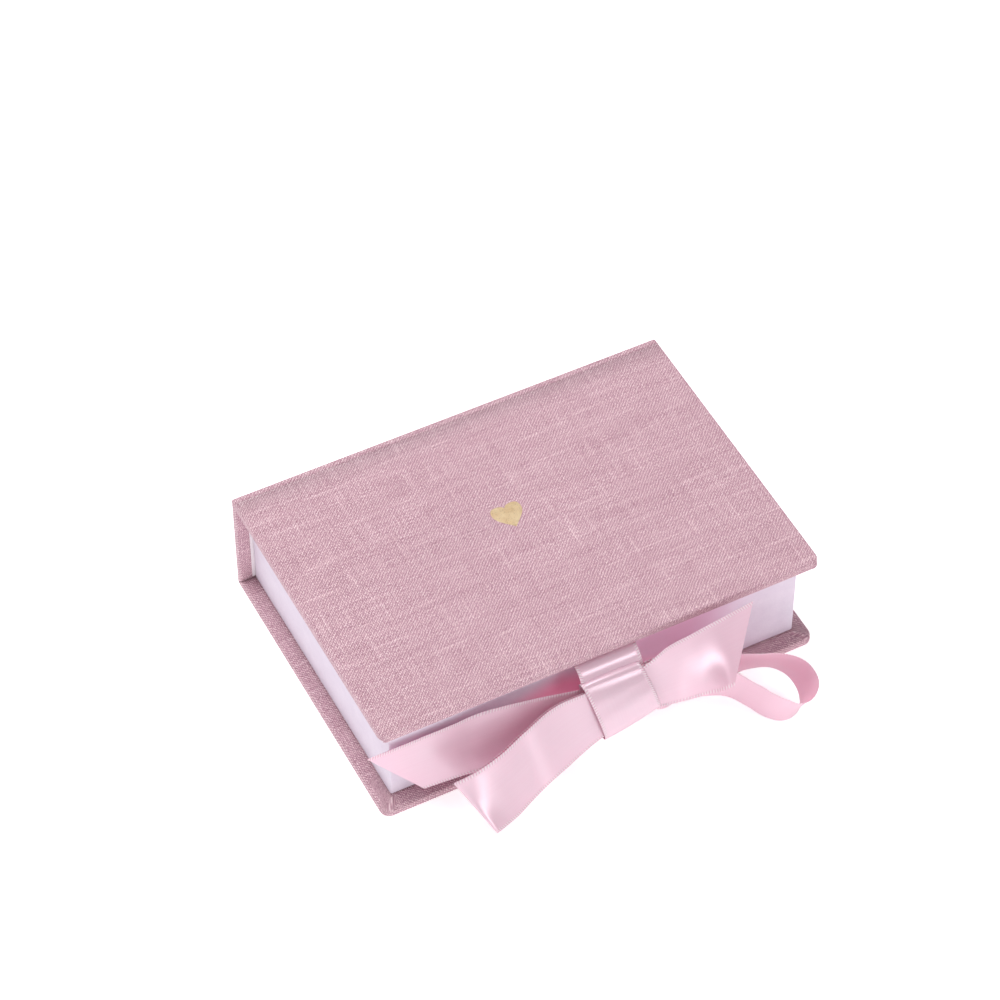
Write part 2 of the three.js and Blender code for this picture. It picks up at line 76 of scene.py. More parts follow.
# Sizes read from the frame
COVER_LOW, COVER_HIGH = box_mm("cover_cloth")
TRAY_LOW, TRAY_HIGH = box_mm("tray_wrap")
PAD_LOW, PAD_HIGH = box_mm("insert_velvet")
HALF_WIDTH = COVER_HIGH[0]
FRONT = COVER_LOW[1]
BACK = box_mm("spine_cloth")[1][1]
HEIGHT = COVER_HIGH[2]
PANEL = box_mm("base_cloth")[1][2]  # thickness of the cover, the spine or the base

# Bookcloth
EDGE_ROUND = 0.5
CORNER_RADIUS = 2.5
TURN_IN = 12  # cloth folded over onto the inner face
CLOTH = 0.2
FOLD_END = 4.0  # from the panel's edge to where a corner's fold has flattened out
FOLD_SUNK = 0.04  # its ends lie this far under the cloth
HINGE_STRIP = 2  # cloth each side of a folding corner that bends with it
HINGE_ROUND = 0.75
MITRE = 0.08
GUARD = 0.3  # flat ring that keeps the large faces' normals true
ARC_STEPS = 5
THREAD = 0.44  # pitch of the weave

# Tray and pad
TRAY_ROUND = 0.4
WALL = 2.37
PAPER = 0.12
PAPER_UNDER = 10.0  # paper folded under the floor
FLOOR_Z = 4.77  # top of the tray's floor
PAD_ROUND = 2.2
PAD_CROWN = 0.35
TUCK_REACH = 2.2  # from a slit to where the velvet lies flat again
SLIT_REACH = 0.75
SLIT_DEPTH = 5.0
GLOW_X = -9.0  # middle of the pink light painted into the tray's front wall, where the ribbon's glow falls
GLOW_Z = 13.0

# Ribbon
RIBBON_WIDTH = 16
RIBBON_HALF = 0.09  # half its thickness
RIBBON_LIFT = 0.165  # from a panel to the middle of the ribbon that lies on it
SELVEDGE = 0.9
BEAD_RISE = 0.6  # the selvedge is thicker by this share
BEAD_REACH = 0.45
STITCH = 0.64  # pitch of the selvedge's stitches
STEP = 0.45  # between two sections
SAMPLES = 30  # of the curve between two stations
BACK_LAYER_DROP = 0.35  # how far a flattened loop's back layer hangs below its front
FOLD_REACH = 0.5  # how far its fold stands out past the last station


# ---------------------------------------------------------------- meshes


@contextmanager
def editing(mesh):
    """A mesh opened for bmesh's tools, and written back afterwards."""
    built = bmesh.new()
    built.from_mesh(mesh)
    yield built
    built.to_mesh(mesh)
    built.free()


def add_mesh(name, points, faces, uv=None, uv_name="weave", sharp=40):
    """A smooth-shaded mesh from millimetre points, with edges past an angle left sharp."""
    mesh = bpy.data.meshes.new(name)
    mesh.from_pydata([tuple(p) for p in np.asarray(points, float) / 1000], [], faces)
    if uv is not None:
        layer = mesh.uv_layers.new(name=uv_name)
        for loop in mesh.loops:
            layer.data[loop.index].uv = uv[loop.vertex_index]
    mesh.shade_smooth()
    with editing(mesh) as built:
        for edge in built.edges:
            if len(edge.link_faces) == 2 and edge.calc_face_angle(0) > math.radians(sharp):
                edge.smooth = False
    mesh.validate()
    shown = bpy.data.objects.new(name, mesh)
    bpy.context.scene.collection.objects.link(shown)
    return shown


def grid_faces(rows, columns, keep=None):
    """Quads between rows of points. keep(row, column) leaves some out."""
    faces = []
    for r in range(rows - 1):
        for c in range(columns - 1):
            if keep is None or keep(r, c):
                a = r * columns + c
                b = a + columns
                faces.append((a, a + 1, b + 1, b))
    return faces


def thicken(shown, thickness):
    """Gives a skin its thickness, inwards from its outer face."""
    solid = shown.modifiers.new("thickness", "SOLIDIFY")
    solid.thickness = thickness / 1000
    solid.offset = -1.0
    return shown


def paint(shown, material):
    """The piece's one material, also on a CAD node's object slots."""
    if not shown.material_slots:
        shown.data.materials.append(material)
    for each in shown.material_slots:
        each.link = "OBJECT"
        each.material = material
    return shown


def arc(steps):
    return [math.pi / 2 * i / steps for i in range(1, steps)]


# ---------------------------------------------------------------- materials


class Nodes:
    """A material's node tree, with short calls for the nodes used here."""

    def __init__(self, name):
        self.material = bpy.data.materials.new(name)
        self.material.use_nodes = True
        self.tree = self.material.node_tree
        self.shader = self.tree.nodes["Principled BSDF"]

    def node(self, kind, **settings):
        made = self.tree.nodes.new(kind)
        for key, value in settings.items():
            setattr(made, key, value)
        return made

    def link(self, source, socket):
        self.tree.links.new(source, socket)

    def feed(self, socket, value):
        if isinstance(value, (int, float)):
            socket.default_value = value
        else:
            self.link(value, socket)

    def math(self, operation, *values):
        made = self.node("ShaderNodeMath", operation=operation)
        for socket, value in zip(made.inputs, values):
            self.feed(socket, value)
        return made.outputs[0]

    def spread(self, value, low, high):
        """value from low..high onto 0..1, smoothly."""
        made = self.node("ShaderNodeMapRange", interpolation_type="SMOOTHSTEP")
        self.feed(made.inputs["Value"], value)
        made.inputs["From Min"].default_value = low
        made.inputs["From Max"].default_value = high
        return made.outputs["Result"]

    def place(self, x, y, z=0.0):
        made = self.node("ShaderNodeCombineXYZ")
        for socket, value in zip(made.inputs, (x, y, z)):
            self.feed(socket, value)
        return made.outputs[0]

    def noise(self, where, scale, detail=2.0, roughness=0.5):
        made = self.node("ShaderNodeTexNoise")
        self.link(where, made.inputs["Vector"])
        made.inputs["Scale"].default_value = scale
        made.inputs["Detail"].default_value = detail
        made.inputs["Roughness"].default_value = roughness
        return made.outputs["Fac"]

    def uv(self, name):
        chart = self.node("ShaderNodeUVMap", uv_map=name)
        parts = self.node("ShaderNodeSeparateXYZ")
        self.link(chart.outputs[0], parts.inputs[0])
        return parts.outputs[0], parts.outputs[1]

    def millimetres(self):
        """The piece's own coordinates in millimetres."""
        where = self.node("ShaderNodeTexCoord")
        scaled = self.node("ShaderNodeVectorMath", operation="SCALE")
        self.link(where.outputs["Object"], scaled.inputs[0])
        scaled.inputs["Scale"].default_value = 1000
        return scaled.outputs[0]

    def blend(self, share, a, b):
        made = self.node("ShaderNodeMix", data_type="RGBA")
        self.feed(made.inputs["Factor"], share)
        for socket, value in ((made.inputs["A"], a), (made.inputs["B"], b)):
            if isinstance(value, tuple):
                socket.default_value = linear(value)
            else:
                self.link(value, socket)
        return made.outputs["Result"]

    def ramp(self, value, *stops):
        made = self.node("ShaderNodeValToRGB")
        self.link(value, made.inputs[0])
        stones = made.color_ramp.elements
        while len(stones) < len(stops):
            stones.new(0.5)
        for stone, (at, colour) in zip(stones, stops):
            stone.position = at
            stone.color = linear(colour)
        return made.outputs["Color"]

    def bump(self, height, depth, strength):
        made = self.node("ShaderNodeBump")
        self.link(height, made.inputs["Height"])
        made.inputs["Distance"].default_value = depth / 1000
        made.inputs["Strength"].default_value = strength
        self.link(made.outputs[0], self.shader.inputs["Normal"])

    def let_through(self, share, colour):
        """Lets a share of the light through, tinted, as thin cloth does."""
        glow = self.node("ShaderNodeBsdfTranslucent")
        glow.inputs["Color"].default_value = linear(colour)
        both = self.node("ShaderNodeMixShader")
        both.inputs["Fac"].default_value = share
        self.link(self.shader.outputs[0], both.inputs[1])
        self.link(glow.outputs[0], both.inputs[2])
        self.link(both.outputs[0], self.tree.nodes["Material Output"].inputs["Surface"])

    def finish(self, colour, roughness, **sockets):
        for name, value in (("Base Color", colour), ("Roughness", roughness)):
            socket = self.shader.inputs[name]
            if isinstance(value, tuple):
                socket.default_value = linear(value)
            else:
                self.feed(socket, value)
        for name, value in sockets.items():
            self.shader.inputs[name.replace("_", " ")].default_value = value
        return self.material


def linear(colour):
    """An 0-255 display colour as linear RGBA."""
    shares = [c / 255 for c in colour]
    return tuple(
        s / 12.92 if s <= 0.04045 else ((s + 0.055) / 1.055) ** 2.4 for s in shares
    ) + (1.0,)


def bookcloth():
    """Plain-weave linen bookcloth: uneven threads, slubs both ways, pale crossings."""
    n = Nodes("linen_bookcloth")
    u, v = n.uv("weave")
    drift = n.noise(n.place(u, v), 0.16, 3.0)
    shake = n.math("MULTIPLY", n.math("SUBTRACT", drift, 0.5), 0.7)
    wobble_u = n.math("MULTIPLY", n.noise(n.place(u, v, 11.0), 1.2, 1.0), 0.25)
    wobble_v = n.math("MULTIPLY", n.noise(n.place(u, v, 23.0), 1.2, 1.0), 0.25)
    u = n.math("ADD", u, n.math("ADD", shake, wobble_u))
    v = n.math("ADD", v, n.math("SUBTRACT", wobble_v, shake))
    warp_at = n.math("MULTIPLY", u, 1 / THREAD)
    weft_at = n.math("MULTIPLY", v, 1 / THREAD)

    def thread(at):
        wave = n.math("SINE", n.math("MULTIPLY", at, 2 * math.pi))
        return n.math("MULTIPLY_ADD", wave, 0.5, 0.5)

    def half(at):
        return n.math("SINE", n.math("MULTIPLY", at, math.pi))

    warp, weft = thread(warp_at), thread(weft_at)
    over = n.spread(n.math("MULTIPLY", half(warp_at), half(weft_at)), -0.35, 0.35)
    under = n.math("SUBTRACT", 1.0, over)
    height = n.math(
        "MAXIMUM", n.math("MULTIPLY", warp, over), n.math("MULTIPLY", weft, under)
    )
    floor_u = n.math("FLOOR", warp_at)
    floor_v = n.math("FLOOR", weft_at)
    grain = n.noise(
        n.place(n.math("MULTIPLY", u, 3.1), n.math("MULTIPLY", v, 2.1), 17.0), 1.0, 1.0
    )
    warp_slub = n.noise(n.place(floor_u, n.math("MULTIPLY", v, 0.1)), 0.93, 0.0)
    weft_slub = n.noise(n.place(n.math("MULTIPLY", u, 0.1), floor_v, 7.0), 0.93, 0.0)
    mottle = n.noise(n.place(u, v, 3.0), 0.09, 2.0)
    lustre = n.math("ADD", n.math("MULTIPLY", n.spread(grain, 0.25, 0.75), 0.9), 0.08)
    tone = n.math("MULTIPLY", height, lustre)
    tone = n.math("ADD", tone, n.math("MULTIPLY", n.math("SUBTRACT", mottle, 0.5), 0.02))
    for slub in (warp_slub, weft_slub):
        tone = n.math("ADD", tone, n.math("MULTIPLY", n.spread(slub, 0.66, 0.9), 0.09))
        tone = n.math("ADD", tone, n.math("MULTIPLY", n.math("SUBTRACT", slub, 0.5), 0.18))
    colour = n.ramp(
        n.math("ADD", tone, 0.14),
        (0.08, (158, 113, 127)),
        (0.4, (207, 166, 178)),
        (0.6, (222, 187, 196)),
        (0.9, (250, 230, 232)),
    )
    n.bump(height, 0.07, 0.7)
    return n.finish(
        colour, 0.86, Sheen_Weight=0.12, Sheen_Roughness=0.5, Specular_IOR_Level=0.3
    )


def satin():
    """Double-face satin ribbon: long floats along its length and a stitched selvedge."""
    n = Nodes("pink_satin")
    u, v = n.uv("ribbon")
    across = n.math("ABSOLUTE", v)
    inner = RIBBON_WIDTH / 2 - SELVEDGE
    edge = n.spread(across, inner, inner + 0.15)
    slant = n.math("MULTIPLY", across, 0.3)
    phase = n.math("MULTIPLY", n.math("ADD", u, slant), 2 * math.pi / STITCH)
    stitch = n.spread(n.math("SINE", phase), -0.6, 0.3)
    lengthwise = n.place(n.math("MULTIPLY", u, 0.05), n.math("MULTIPLY", v, 5.0))
    floats = n.noise(lengthwise, 1.0, 3.0)
    crosswise = n.place(n.math("MULTIPLY", u, 3.0), n.math("MULTIPLY", v, 0.12), 4.0)
    ribs = n.noise(crosswise, 1.0, 2.0)
    body = n.ramp(floats, (0.25, (250, 226, 239)), (0.75, (254, 234, 245)))
    thread = n.blend(stitch, (238, 208, 224), (255, 253, 255))
    colour = n.blend(edge, body, thread)
    relief = n.math(
        "ADD",
        n.math("MULTIPLY", n.math("MULTIPLY", edge, stitch), 1.1),
        n.math("MULTIPLY", n.math("ADD", floats, ribs), 0.05),
    )
    n.bump(relief, 0.06, 0.6)
    roughness = n.math("ADD", n.math("MULTIPLY", edge, 0.25), 0.33)
    n.let_through(0.34, (244, 162, 196))
    grain = n.node("ShaderNodeTangent", direction_type="UV_MAP", uv_map="ribbon")
    n.link(grain.outputs[0], n.shader.inputs["Tangent"])
    return n.finish(
        colour,
        roughness,
        Metallic=0.35,
        Anisotropic=0.5,
        Anisotropic_Rotation=0.25,
        Specular_IOR_Level=1.0,
        Coat_Weight=0.2,
        Coat_Roughness=0.35,
        Sheen_Weight=0.2,
        Sheen_Roughness=0.35,
    )


def fibres(n, where, scale, depth):
    """The tone of paper: soft mottling and short fibres, with a faint relief."""
    mottle = n.noise(where, scale, 4.0, 0.6)
    fibre = n.noise(where, scale * 9, 2.0)
    tone = n.math("ADD", n.math("MULTIPLY", mottle, 0.6), n.math("MULTIPLY", fibre, 0.4))
    n.bump(tone, depth, 0.6)
    return tone


def fibrous(name, dark, light, scale, depth, roughness, **sockets):
    """Paper, board or tape."""
    n = Nodes(name)
    tone = fibres(n, n.millimetres(), scale, depth)
    return n.finish(n.ramp(tone, (0.3, dark), (0.7, light)), roughness, **sockets)


def gold_foil():
    """Hot-pressed foil: fine pits and a soft change of tone."""
    n = Nodes("gold_foil")
    where = n.millimetres()
    pits = n.noise(where, 5.5, 3.0, 0.6)
    sweep = n.noise(where, 0.5, 2.0)
    n.bump(pits, 0.02, 0.7)
    colour = n.ramp(sweep, (0.3, (236, 205, 160)), (0.7, (251, 226, 186)))
    return n.finish(colour, n.spread(pits, -0.6, 2.2), Metallic=1.0)


def velvet():
    """Short-pile velvet: bright at grazing angles, with brushed patches."""
    n = Nodes("velvet_pile")
    where = n.millimetres()
    pile = n.noise(where, 3.2, 3.0, 0.7)
    brushed = n.noise(where, 0.09, 2.0)
    tone = n.math("ADD", n.math("MULTIPLY", pile, 0.5), n.math("MULTIPLY", brushed, 0.5))
    n.bump(pile, 0.12, 0.7)
    colour = n.ramp(tone, (0.3, (224, 212, 211)), (0.7, (245, 236, 235)))
    return n.finish(colour, 1.0, Sheen_Weight=0.9, Sheen_Roughness=0.3, Specular_IOR_Level=0.1)


def foam():
    n = Nodes("open_cell_foam")
    cells = n.node("ShaderNodeTexVoronoi")
    n.link(n.millimetres(), cells.inputs["Vector"])
    cells.inputs["Scale"].default_value = 1.6
    n.bump(cells.outputs["Distance"], 0.25, 1.0)
    colour = n.ramp(cells.outputs["Distance"], (0.1, (214, 206, 190)), (0.7, (247, 242, 231)))
    return n.finish(colour, 0.95)


def wrapping_paper():
    """Smooth white paper, with the satin's pink light painted into its colour on the wall behind
    the bow and to the right of the upper ribbon's stub.
    """
    n = Nodes("wrapping_paper")
    where = n.millimetres()
    tone = fibres(n, where, 0.25, 0.012)
    paper = n.ramp(tone, (0.3, (219, 206, 221)), (0.7, (229, 218, 230)))
    parts = n.node("ShaderNodeSeparateXYZ")
    n.link(where, parts.inputs[0])
    x, y, z = parts.outputs
    # Painted light: the paper's colour turns pink behind the bow, where the satin's glow falls
    # on the wall
    aside = n.math("MULTIPLY", n.math("ABSOLUTE", n.math("SUBTRACT", x, GLOW_X)), 0.38)
    away = n.math("ABSOLUTE", n.math("SUBTRACT", z, GLOW_Z))
    behind = n.math("SUBTRACT", 1.0, n.spread(n.math("ADD", aside, away), 4.0, 13.0))
    front = n.math("SUBTRACT", 1.0, n.spread(y, TRAY_LOW[1] + 0.1, TRAY_LOW[1] + 0.6))
    glow = n.math("MULTIPLY", n.math("MULTIPLY", behind, front), 0.85)
    # Painted light: a paler pink tint to the right of the upper ribbon's stub, for the ribbon's
    # glow there
    painted_glow_right_of_stub = n.math("SUBTRACT", n.spread(x, 4.0, 12.0), n.spread(x, 22.0, 44.0))
    paper = n.blend(n.math("MULTIPLY", painted_glow_right_of_stub, front), paper, (255, 215, 239))
    return n.finish(n.blend(glow, paper, (255, 150, 188)), 0.62)


CLOTH_LOOK = bookcloth()
SATIN_LOOK = satin()
WRAP_LOOK = wrapping_paper()
LINING_LOOK = fibrous("lining_paper", (232, 224, 228), (245, 239, 241), 0.3, 0.02, 0.7)
BOARD_LOOK = fibrous("greyboard", (146, 137, 126), (184, 176, 165), 0.9, 0.06, 0.95)
TAPE_LOOK = fibrous("gummed_tape", (201, 182, 150), (224, 208, 178), 0.6, 0.03, 0.8)
GLUE_LOOK = fibrous("dried_glue", (222, 212, 190), (238, 231, 214), 0.5, 0.05, 0.4)
FOIL_LOOK = gold_foil()
VELVET_LOOK = velvet()
FOAM_LOOK = foam()


# ---------------------------------------------------------------- the case's cloth


def outline_point(inset, s, side):
    """A point on a panel's outline at an inset, s along it from the middle of the
    front corner on that side: positive s runs along the front edge."""
    radius = max(CORNER_RADIUS - inset, 0.0)
    half_arc = radius * math.pi / 4
    centre = np.array([HALF_WIDTH - inset - radius, FRONT + inset + radius])
    beyond = max(abs(s) - half_arc, 0.0)
    turn = 0.0
    if radius > 0:
        turn = math.radians(45) * (1 - min(abs(s), half_arc) / half_arc)
    normal = np.array([math.sin(turn), -math.cos(turn)])
    point = centre + radius * normal + np.array([-beyond, 0.0])
    if s < 0:
        offset = point - centre
        point = centre - offset[::-1]
        normal = -normal[::-1]
    return np.array([side * point[0], point[1]]), np.array([side * normal[0], normal[1]])


def panel_rings():
    """(inset, depth below the outer face, developed distance) down one edge of a panel."""
    r = EDGE_ROUND
    rings = [(r + GUARD, 0.0), (r, 0.0)]
    rings += [(r - r * math.sin(a), r - r * math.cos(a)) for a in arc(ARC_STEPS)]
    rings += [(0.0, r), (0.0, PANEL / 2), (0.0, PANEL - r)]
    rings += [(r - r * math.cos(a), PANEL - r + r * math.sin(a)) for a in arc(ARC_STEPS)]
    rings += [(r, PANEL), (r + GUARD, PANEL), (4.0, PANEL), (8.0, PANEL), (TURN_IN, PANEL)]
    made, distance = [], 0.0
    for i, (inset, depth) in enumerate(rings):
        if i:
            distance += math.dist(rings[i - 1], (inset, depth))
        made.append((inset, depth, distance))
    return made


def panel_column(inset, depth):
    """One ring's points round three sides, left rear to right rear, and their normals."""
    mitre = BACK - MITRE - depth
    reach = min(BACK - HINGE_STRIP, mitre - GUARD)
    radius = max(CORNER_RADIUS - inset, 0.0)
    half_arc = radius * math.pi / 4
    steps = 10
    corner = [half_arc * (2 * i / steps - 1) for i in range(steps + 1)]
    y_front = outline_point(inset, -half_arc, 1)[0][1]
    side_run = [reach - (reach - y_front) * (i / steps) for i in range(steps)]
    x_side = HALF_WIDTH - inset
    left = [((-x_side, y), (-1, 0)) for y in [mitre] + side_run]
    left += [outline_point(inset, s, -1) for s in corner]
    x_front = abs(left[-1][0][0])
    across = [x_front * (i / steps - 1) for i in range(1, 2 * steps)]
    front = [((x, FRONT + inset), (0, -1)) for x in across]
    right = [outline_point(inset, s, 1) for s in reversed(corner)]
    right += [((x_side, y), (1, 0)) for y in reversed([mitre] + side_run)]
    return left + front + right


def panel_skin(name, outer, up, hole=None):
    """Cloth round a panel: outer face, rounded edges and the strip folded inside."""
    rings = panel_rings()
    points, uv = [], []
    for inset, depth, distance in rings:
        for (x, y), normal in panel_column(inset, depth):
            points.append((x, y, outer + up * depth))
            out = distance + inset - EDGE_ROUND - GUARD
            uv.append((x + normal[0] * out, y + normal[1] * out))
    columns = len(points) // len(rings)
    first_side_ring = next(i for i, ring in enumerate(rings) if ring[1] >= EDGE_ROUND)

    def keep(row, column):
        end_column = column in (0, columns - 2)
        return row >= first_side_ring or not end_column

    faces = grid_faces(len(rings), columns, keep)
    index = list(range(1, columns - 1))
    edge_count = len(index)
    loops = [[Vector(points[i]) for i in index]]
    if hole is not None:
        rim = [Vector((x, y, outer)) for x, y in hole]
        for p in rim:
            index.append(len(points))
            points.append(tuple(p))
            uv.append((p.x, p.y))
        loops.append(rim)
    faces += [tuple(index[i] for i in tri) for tri in tessellate_polygon(loops)]
    if hole is not None:
        pressed_edge(points, uv, faces, index[edge_count:], outer)
    shown = add_mesh(name, points, faces, uv, sharp=50)
    tidy_normals(shown, up)
    return thicken(shown, CLOTH)


def pressed_edge(points, uv, faces, rim, outer):
    """The cloth's rounded step down to the pressed foil."""
    middle = np.mean([points[i][:2] for i in rim], axis=0)
    ring = list(rim)
    for shrink, drop in ((0.06, 0.02), (0.12, 0.06), (0.16, 0.12), (0.3, 0.15)):
        lower = []
        for i in rim:
            x, y, _ = points[i]
            away = np.array([x, y]) - middle
            inwards = np.array([x, y]) - away / np.linalg.norm(away) * shrink
            lower.append(len(points))
            points.append((inwards[0], inwards[1], outer - drop))
            uv.append((inwards[0], inwards[1]))
        for a in range(len(rim)):
            b = (a + 1) % len(rim)
            faces.append((ring[a], ring[b], lower[b], lower[a]))
        ring = lower


def tidy_normals(shown, up):
    """Faces outwards all round, judged by the outer face."""
    with editing(shown.data) as built:
        bmesh.ops.remove_doubles(built, verts=built.verts, dist=2e-6)
        bmesh.ops.recalc_face_normals(built, faces=built.faces)
        largest = max(built.faces, key=lambda f: f.calc_area())
        if largest.normal.z * up > 0:
            bmesh.ops.reverse_faces(built, faces=built.faces)


def corner_fold(name, outer, up, side):
    """The edge of the cloth folded over at a front corner: a crisp step that fades."""
    rings = [r for r in panel_rings() if r[1] >= EDGE_ROUND * 0.3 and r[0] <= FOLD_END]
    spans = [0.0, 0.02, 0.35, 0.8, 1.4, 2.2]
    heights = [-FOLD_SUNK, 0.24, 0.3, 0.22, 0.1, -FOLD_SUNK]
    points, uv = [], []
    for inset, depth, distance in rings:
        fade = min(1.0, (depth + 0.15) / PANEL, (FOLD_END - inset) / (FOLD_END - 1))
        for s, height in zip(spans, heights):
            (x, y), normal = outline_point(inset, s, side)
            slope = 0.0
            if inset < EDGE_ROUND and depth > PANEL - EDGE_ROUND:
                slope = math.acos(min(1.0, 1 - inset / EDGE_ROUND))
            elif depth >= PANEL - 1e-6:
                slope = math.pi / 2
            lift = (height + FOLD_SUNK) * fade - FOLD_SUNK
            out = lift * math.cos(slope)
            rise = lift * math.sin(slope)
            z = outer + up * (depth + rise)
            points.append((x + normal[0] * out, y + normal[1] * out, z))
            uv.append((x + s, y - distance))
    return add_mesh(name, points, grid_faces(len(rings), len(spans)), uv, sharp=60)


def spine_skin():
    """Cloth on the spine: outer face, end edges and the strips folded inside."""
    r = EDGE_ROUND
    profile = [(HALF_WIDTH - r, 0.0)]
    profile += [(HALF_WIDTH - r + r * math.sin(a), r - r * math.cos(a)) for a in arc(ARC_STEPS)]
    profile += [(HALF_WIDTH, r), (HALF_WIDTH, PANEL - r)]
    profile += [
        (HALF_WIDTH - r + r * math.cos(a), PANEL - r + r * math.sin(a)) for a in arc(ARC_STEPS)
    ]
    profile += [(HALF_WIDTH - r, PANEL), (HALF_WIDTH - 4, PANEL), (HALF_WIDTH - TURN_IN, PANEL)]
    whole = [(-x, d) for x, d in reversed(profile)] + profile
    points, uv = [], []
    middle = len(profile)
    lengths = [0.0]
    for a, b in zip(whole, whole[1:]):
        lengths.append(lengths[-1] + math.dist(a, b))
    for (x, depth), length in zip(whole, lengths):
        distance = length - (lengths[middle - 1] + lengths[middle]) / 2
        low = MITRE + depth
        near = max(HINGE_STRIP, low + GUARD)
        for z in (low, near, HEIGHT / 2, HEIGHT - near, HEIGHT - low):
            points.append((x, BACK - depth, z))
            uv.append((distance, BACK + HEIGHT - z))
    outer_face = [i for i, (x, depth) in enumerate(whole) if depth < r - 1e-6]

    def keep(row, column):
        on_outer = row in outer_face or row + 1 in outer_face
        return not (on_outer and column in (0, 3))

    shown = add_mesh("spine_cloth_skin", points, grid_faces(len(whole), 5, keep), uv, sharp=50)
    face_normals_from(shown, (0, (BACK + TRAY_HIGH[1]) / 2000, HEIGHT / 2000))
    return thicken(shown, CLOTH)


def face_normals_from(shown, inside):
    """Consistent normals, pointing away from a point in metres."""
    with editing(shown.data) as built:
        bmesh.ops.recalc_face_normals(built, faces=built.faces)
        largest = max(built.faces, key=lambda f: f.calc_area())
        if largest.normal.dot(largest.calc_center_median() - Vector(inside)) < 0:
            bmesh.ops.reverse_faces(built, faces=built.faces)


def hinge_path(corner_z, towards):
    """[y, z, developed] over a folding corner, from the panel to the spine."""
    r, steps = HINGE_ROUND, 8
    path = [(BACK - HINGE_STRIP, corner_z), (BACK - HINGE_STRIP * 0.6, corner_z)]
    for i in range(steps + 1):
        a = math.pi / 2 * i / steps
        y = BACK - r + r * math.sin(a)
        path.append((y, corner_z + towards * (r - r * math.cos(a))))
    path.append((BACK, corner_z + towards * HINGE_STRIP * 0.6))
    path.append((BACK, corner_z + towards * HINGE_STRIP))
    return path


def hinge_cloth(name, corner_z, towards):
    """The cloth round the outside of a folding corner, with its rounded ends."""
    r, steps = EDGE_ROUND, 24
    flat = 2 * HALF_WIDTH - 2 * r
    turns = [math.pi / 2, *reversed(arc(4))]
    ends = [(r - r * math.sin(a), r - r * math.cos(a)) for a in turns]
    across = [(-HALF_WIDTH + inset, drop) for inset, drop in ends]
    across += [(-HALF_WIDTH + r + flat * i / steps, 0.0) for i in range(steps + 1)]
    across += [(HALF_WIDTH - inset, drop) for inset, drop in reversed(ends)]
    path = hinge_path(corner_z, towards)
    points, uv, run = [], [], 0.0
    for i, (y, z) in enumerate(path):
        if i:
            run += math.dist(path[i - 1], (y, z))
        a = path[max(i - 1, 0)]
        b = path[min(i + 1, len(path) - 1)]
        along = np.array([b[0] - a[0], b[1] - a[1]])
        along /= np.linalg.norm(along)
        inwards = np.array([-along[1], along[0]])
        if inwards @ np.array([BACK - 5 - y, HEIGHT / 2 - z]) < 0:
            inwards = -inwards
        for x, drop in across:
            points.append((x, y + inwards[0] * drop, z + inwards[1] * drop))
            uv.append((x, BACK - HINGE_STRIP + run))
    shown = add_mesh(name, points, grid_faces(len(path), len(across)), uv, sharp=60)
    face_normals_from(shown, (0, 0.02, HEIGHT / 2000))
    return apply_thickness(thicken(shown, CLOTH))


def apply_thickness(shown):
    """Makes the modifier's result the mesh."""
    graph = bpy.context.evaluated_depsgraph_get()
    mesh = bpy.data.meshes.new_from_object(shown.evaluated_get(graph), depsgraph=graph)
    shown.modifiers.clear()
    shown.data = mesh
    return shown


def groove_lining(name, corner_z, towards):
    """Cloth pressed into the V groove behind a folding corner, seen when it opens."""
    gap, bottom, lip, end, steps = 0.09, 0.75, 0.8, 0.35, 12
    depths = [PANEL, PANEL * 0.6, bottom]
    panel_side = [(BACK - PANEL - gap - lip, PANEL + 0.01)]
    panel_side += [(BACK - d - gap, d) for d in depths]
    middle = (BACK - bottom + 0.2, bottom - 0.2)
    spine_side = [(BACK - d, d + gap) for d in reversed(depths)]
    spine_side += [(BACK - PANEL - 0.01, PANEL + gap + lip)]
    path = [*panel_side, middle, *spine_side]
    points, uv = [], []
    for i, (y, depth) in enumerate(path):
        for j in range(steps + 1):
            x = -HALF_WIDTH + end + (2 * HALF_WIDTH - 2 * end) * j / steps
            points.append((x, y, corner_z + towards * depth))
            uv.append((x, 2.0 * i))
    return add_mesh(name, points, grid_faces(len(path), steps + 1), uv, sharp=70)


def heart_outline(margin):
    """The foil heart's outline, taken from the CAD node's own top edge."""
    shape = frame["nodes"]["foil_heart"].data
    top = max(v.co.z for v in shape.vertices)
    flat = {
        (round(v.co.x * 1000, 3), round(v.co.y * 1000, 3))
        for v in shape.vertices
        if v.co.z > top - 1e-5
    }
    middle = np.mean(list(flat), axis=0)
    ordered = sorted(flat, key=lambda p: math.atan2(p[1] - middle[1], p[0] - middle[0]))
    grown = []
    for p in ordered:
        away = np.array(p) - middle
        grown.append(tuple(np.array(p) + away / np.linalg.norm(away) * margin))
    return grown


# ---------------------------------------------------------------- tray and pad


def rounded_rectangle(x, y0, y1, radius):
    """Outline of a rectangle from -x to x and y0 to y1, counter-clockwise."""
    corners = ((x, y1, 0), (-x, y1, 90), (-x, y0, 180), (x, y0, 270))
    ring = []
    for cx, cy, start in corners:
        px = cx - math.copysign(radius, cx)
        py = cy - radius if cy == y1 else cy + radius
        for i in range(ARC_STEPS + 1):
            a = math.radians(start + 90 * i / ARC_STEPS)
            ring.append((px + radius * math.cos(a), py + radius * math.sin(a)))
    return ring


